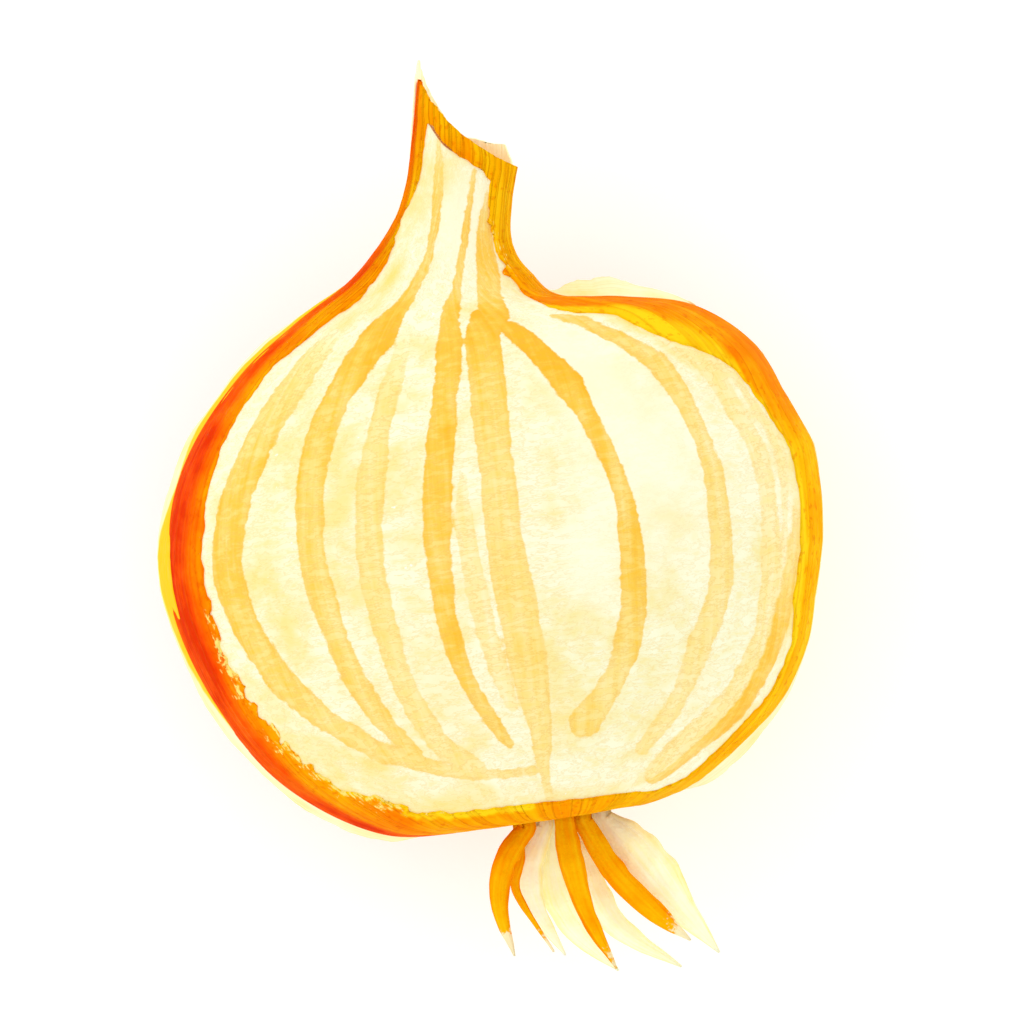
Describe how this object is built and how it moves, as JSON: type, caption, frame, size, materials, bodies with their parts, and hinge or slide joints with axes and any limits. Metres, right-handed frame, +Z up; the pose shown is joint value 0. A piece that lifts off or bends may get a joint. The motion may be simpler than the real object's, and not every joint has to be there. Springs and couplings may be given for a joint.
{
  "type": "onion",
  "caption": "Whole onion lying on its side: a broad round bulb, a slanted pointed neck, dry orange skin open over pale striped inner skin, and short spread roots.",
  "frame": {"origin": "the middle of the bounding box's underside, on the surface that the onion lies on", "axes": "+Z up, +Y along the onion from its roots to its neck, +X across it, so that the open front of the dry skin faces up"},
  "size_m": [0.0784, 0.1112, 0.0653],
  "materials": {
    "inner_skin": "satin",
    "dry_skin": "satin",
    "root_plate": "matte",
    "dark_root": "matte",
    "pale_root": "matte",
    "neck_flake": "matte"
  },
  "bodies": {
    "root": {"bulb": "inner_skin", "outer_skin": "dry_skin", "root_plate": "root_plate", "root_1": "dark_root", "root_2": "dark_root", "root_3": "pale_root", "root_4": "dark_root", "root_5": "pale_root", "root_6": "pale_root", "root_7": "dark_root", "root_8": "pale_root", "neck_flake_tip": "neck_flake", "neck_flake_corner": "neck_flake"}
  },
  "joints": []
}
